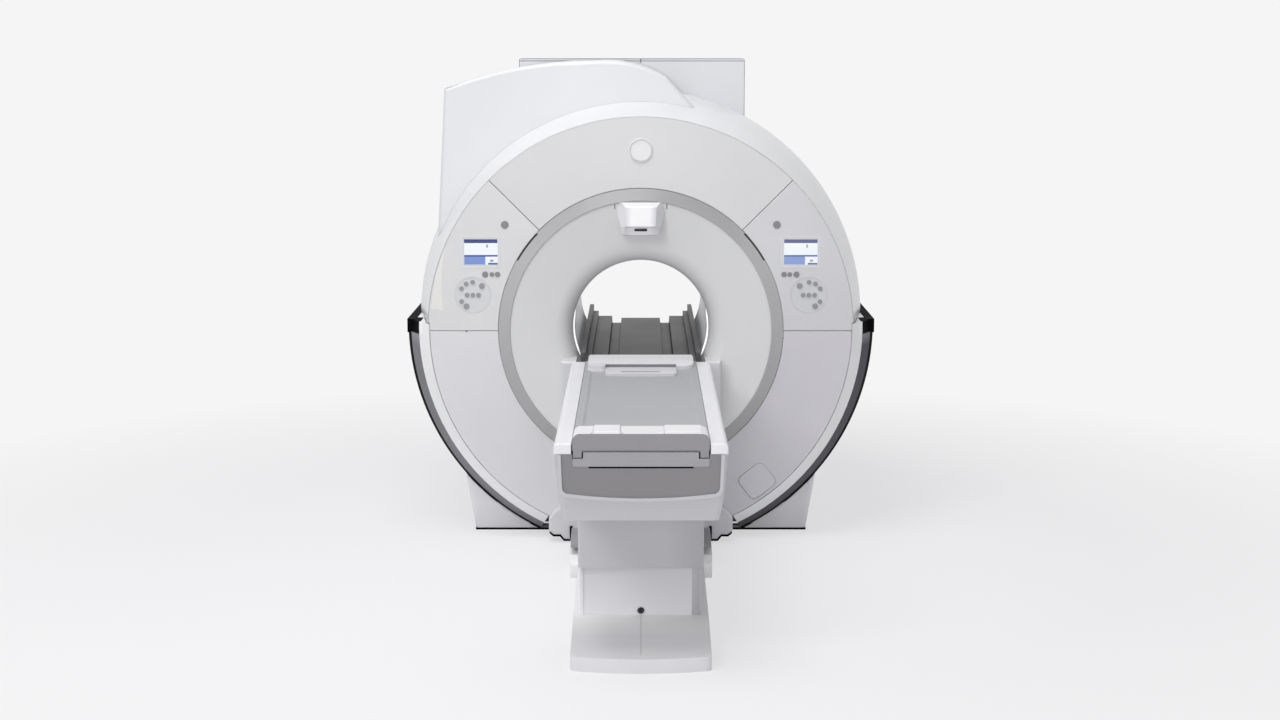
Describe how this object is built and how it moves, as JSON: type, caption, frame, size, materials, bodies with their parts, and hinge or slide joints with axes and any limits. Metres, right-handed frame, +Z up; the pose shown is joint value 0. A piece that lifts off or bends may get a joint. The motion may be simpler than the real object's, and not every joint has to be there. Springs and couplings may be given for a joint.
{
  "type": "mri scanner",
  "caption": "Closed-bore MRI scanner with a round flared front, side consoles, an offset turret and a patient table whose cradle slides through the bore.",
  "frame": {"origin": "on the floor, midway between the front lip of the table's base and the rear end of the bore bridge, on the bore's centre plane", "axes": "+X to the viewer's right seen from the table's foot, +Y into the bore along the table, +Z up"},
  "size_m": [2.418, 4.1049, 2.457],
  "materials": {
    "enclosure_white": "smooth white painted moulding",
    "trim_white": "bright white moulding",
    "ring_grey": "fine matt grey",
    "bumper_dark": "dark grey elastomer",
    "key_grey": "grey elastomer keys",
    "keypad_white": "matt white mat",
    "screen": "flat display panel",
    "vessel_steel": "brushed stainless vessel",
    "coil_epoxy": "cast resin",
    "copper_former": "copper on a plastic former",
    "painted_steel": "grey painted steel",
    "frame_aluminium": "machined aluminium",
    "fascia_grey": "dark grey moulding",
    "latch_grey": "mid grey moulding",
    "cradle_grey": "satin grey composite",
    "bridge_dark": "dark grey composite",
    "pedal_dark": "dark grey pedal pad"
  },
  "bodies": {
    "scanner": {"magnet_cryostat": "vessel_steel", "gradient_coil": "coil_epoxy", "rf_body_coil": "copper_former", "bore_liner": "enclosure_white", "magnet_feet": "painted_steel", "cold_head": "vessel_steel", "front_frame": "frame_aluminium", "base_plinth": "enclosure_white", "top_panel": "enclosure_white", "left_console_panel": "enclosure_white", "right_console_panel": "enclosure_white", "lower_left_panel": "enclosure_white", "lower_right_panel": "enclosure_white", "service_hatch": "enclosure_white", "bezel_ring": "ring_grey", "front_bell": "enclosure_white", "light_pod": "trim_white", "round_cap": "enclosure_white", "front_shoulder": "enclosure_white", "left_body_shroud": "enclosure_white", "right_body_shroud": "enclosure_white", "rear_cover": "enclosure_white", "rear_bell": "enclosure_white", "turret_cover": "enclosure_white", "service_tower": "enclosure_white", "left_bumper": "bumper_dark", "right_bumper": "bumper_dark", "left_trim": "trim_white", "right_trim": "trim_white", "left_screen": "screen", "right_screen": "screen", "left_keypad": "keypad_white", "right_keypad": "keypad_white", "bore_bridge": "bridge_dark", "dock_fairing": "enclosure_white", "pedestal_base": "enclosure_white", "lower_shroud": "enclosure_white", "lift_column": "painted_steel"},
    "middle_stage": {"middle_shroud": "enclosure_white", "lift_middle_stage": "painted_steel"},
    "table": {"lift_ram": "painted_steel", "table_frame": "frame_aluminium", "table_cover": "enclosure_white", "end_fascia": "fascia_grey", "latch_panel": "latch_grey", "left_side_rail": "trim_white", "right_side_rail": "trim_white"},
    "cradle": {"cradle": "cradle_grey", "cradle_end_cap": "trim_white", "coil_port_unit": "trim_white"},
    "left_pedal": {"left_pedal": "pedal_dark"},
    "right_pedal": {"right_pedal": "pedal_dark"},
    "left_round_button": {"left_round_button": "key_grey"},
    "left_row_button_1": {"left_row_button_1": "key_grey"},
    "left_row_button_2": {"left_row_button_2": "key_grey"},
    "left_row_button_3": {"left_row_button_3": "key_grey"},
    "right_round_button": {"right_round_button": "key_grey"},
    "right_row_button_1": {"right_row_button_1": "key_grey"},
    "right_row_button_2": {"right_row_button_2": "key_grey"},
    "right_row_button_3": {"right_row_button_3": "key_grey"}
  },
  "joints": [
    {"name": "table_lift", "type": "slide", "parent": "scanner", "child": "table", "axis": [0, 0, 1], "range_m": [-0.4, 0]},
    {"name": "middle_stage_slide", "type": "slide", "parent": "scanner", "child": "middle_stage", "axis": [0, 0, 1], "range_m": [-0.2, 0]},
    {"name": "cradle_travel", "type": "slide", "parent": "table", "child": "cradle", "axis": [0, 1, 0], "range_m": [0, 1.7]},
    {"name": "left_pedal_tip", "type": "hinge", "parent": "scanner", "child": "left_pedal", "pos_m": [-0.311, -0.4295, 0.156], "axis": [1, 0, 0], "range_deg": [0, 8], "stiffness_Nm_per_rad": 20, "springref_deg": -5.73},
    {"name": "right_pedal_tip", "type": "hinge", "parent": "scanner", "child": "right_pedal", "pos_m": [0.311, -0.4295, 0.156], "axis": [1, 0, 0], "range_deg": [0, 8], "stiffness_Nm_per_rad": 20, "springref_deg": -5.73},
    {"name": "left_round_button_press", "type": "slide", "parent": "scanner", "child": "left_round_button", "axis": [0, 1, 0], "range_m": [0, 0.002], "stiffness_N_per_m": 1000, "springref_m": -0.0005},
    {"name": "left_row_button_1_press", "type": "slide", "parent": "scanner", "child": "left_row_button_1", "axis": [0, 1, 0], "range_m": [0, 0.002], "stiffness_N_per_m": 1000, "springref_m": -0.0005},
    {"name": "left_row_button_2_press", "type": "slide", "parent": "scanner", "child": "left_row_button_2", "axis": [0, 1, 0], "range_m": [0, 0.002], "stiffness_N_per_m": 1000, "springref_m": -0.0005},
    {"name": "left_row_button_3_press", "type": "slide", "parent": "scanner", "child": "left_row_button_3", "axis": [0, 1, 0], "range_m": [0, 0.002], "stiffness_N_per_m": 1000, "springref_m": -0.0005},
    {"name": "right_round_button_press", "type": "slide", "parent": "scanner", "child": "right_round_button", "axis": [0, 1, 0], "range_m": [0, 0.002], "stiffness_N_per_m": 1000, "springref_m": -0.0005},
    {"name": "right_row_button_1_press", "type": "slide", "parent": "scanner", "child": "right_row_button_1", "axis": [0, 1, 0], "range_m": [0, 0.002], "stiffness_N_per_m": 1000, "springref_m": -0.0005},
    {"name": "right_row_button_2_press", "type": "slide", "parent": "scanner", "child": "right_row_button_2", "axis": [0, 1, 0], "range_m": [0, 0.002], "stiffness_N_per_m": 1000, "springref_m": -0.0005},
    {"name": "right_row_button_3_press", "type": "slide", "parent": "scanner", "child": "right_row_button_3", "axis": [0, 1, 0], "range_m": [0, 0.002], "stiffness_N_per_m": 1000, "springref_m": -0.0005}
  ],
  "couplings": [
    {"joint": "middle_stage_slide", "follows": "table_lift", "ratio": 0.5}
  ]
}
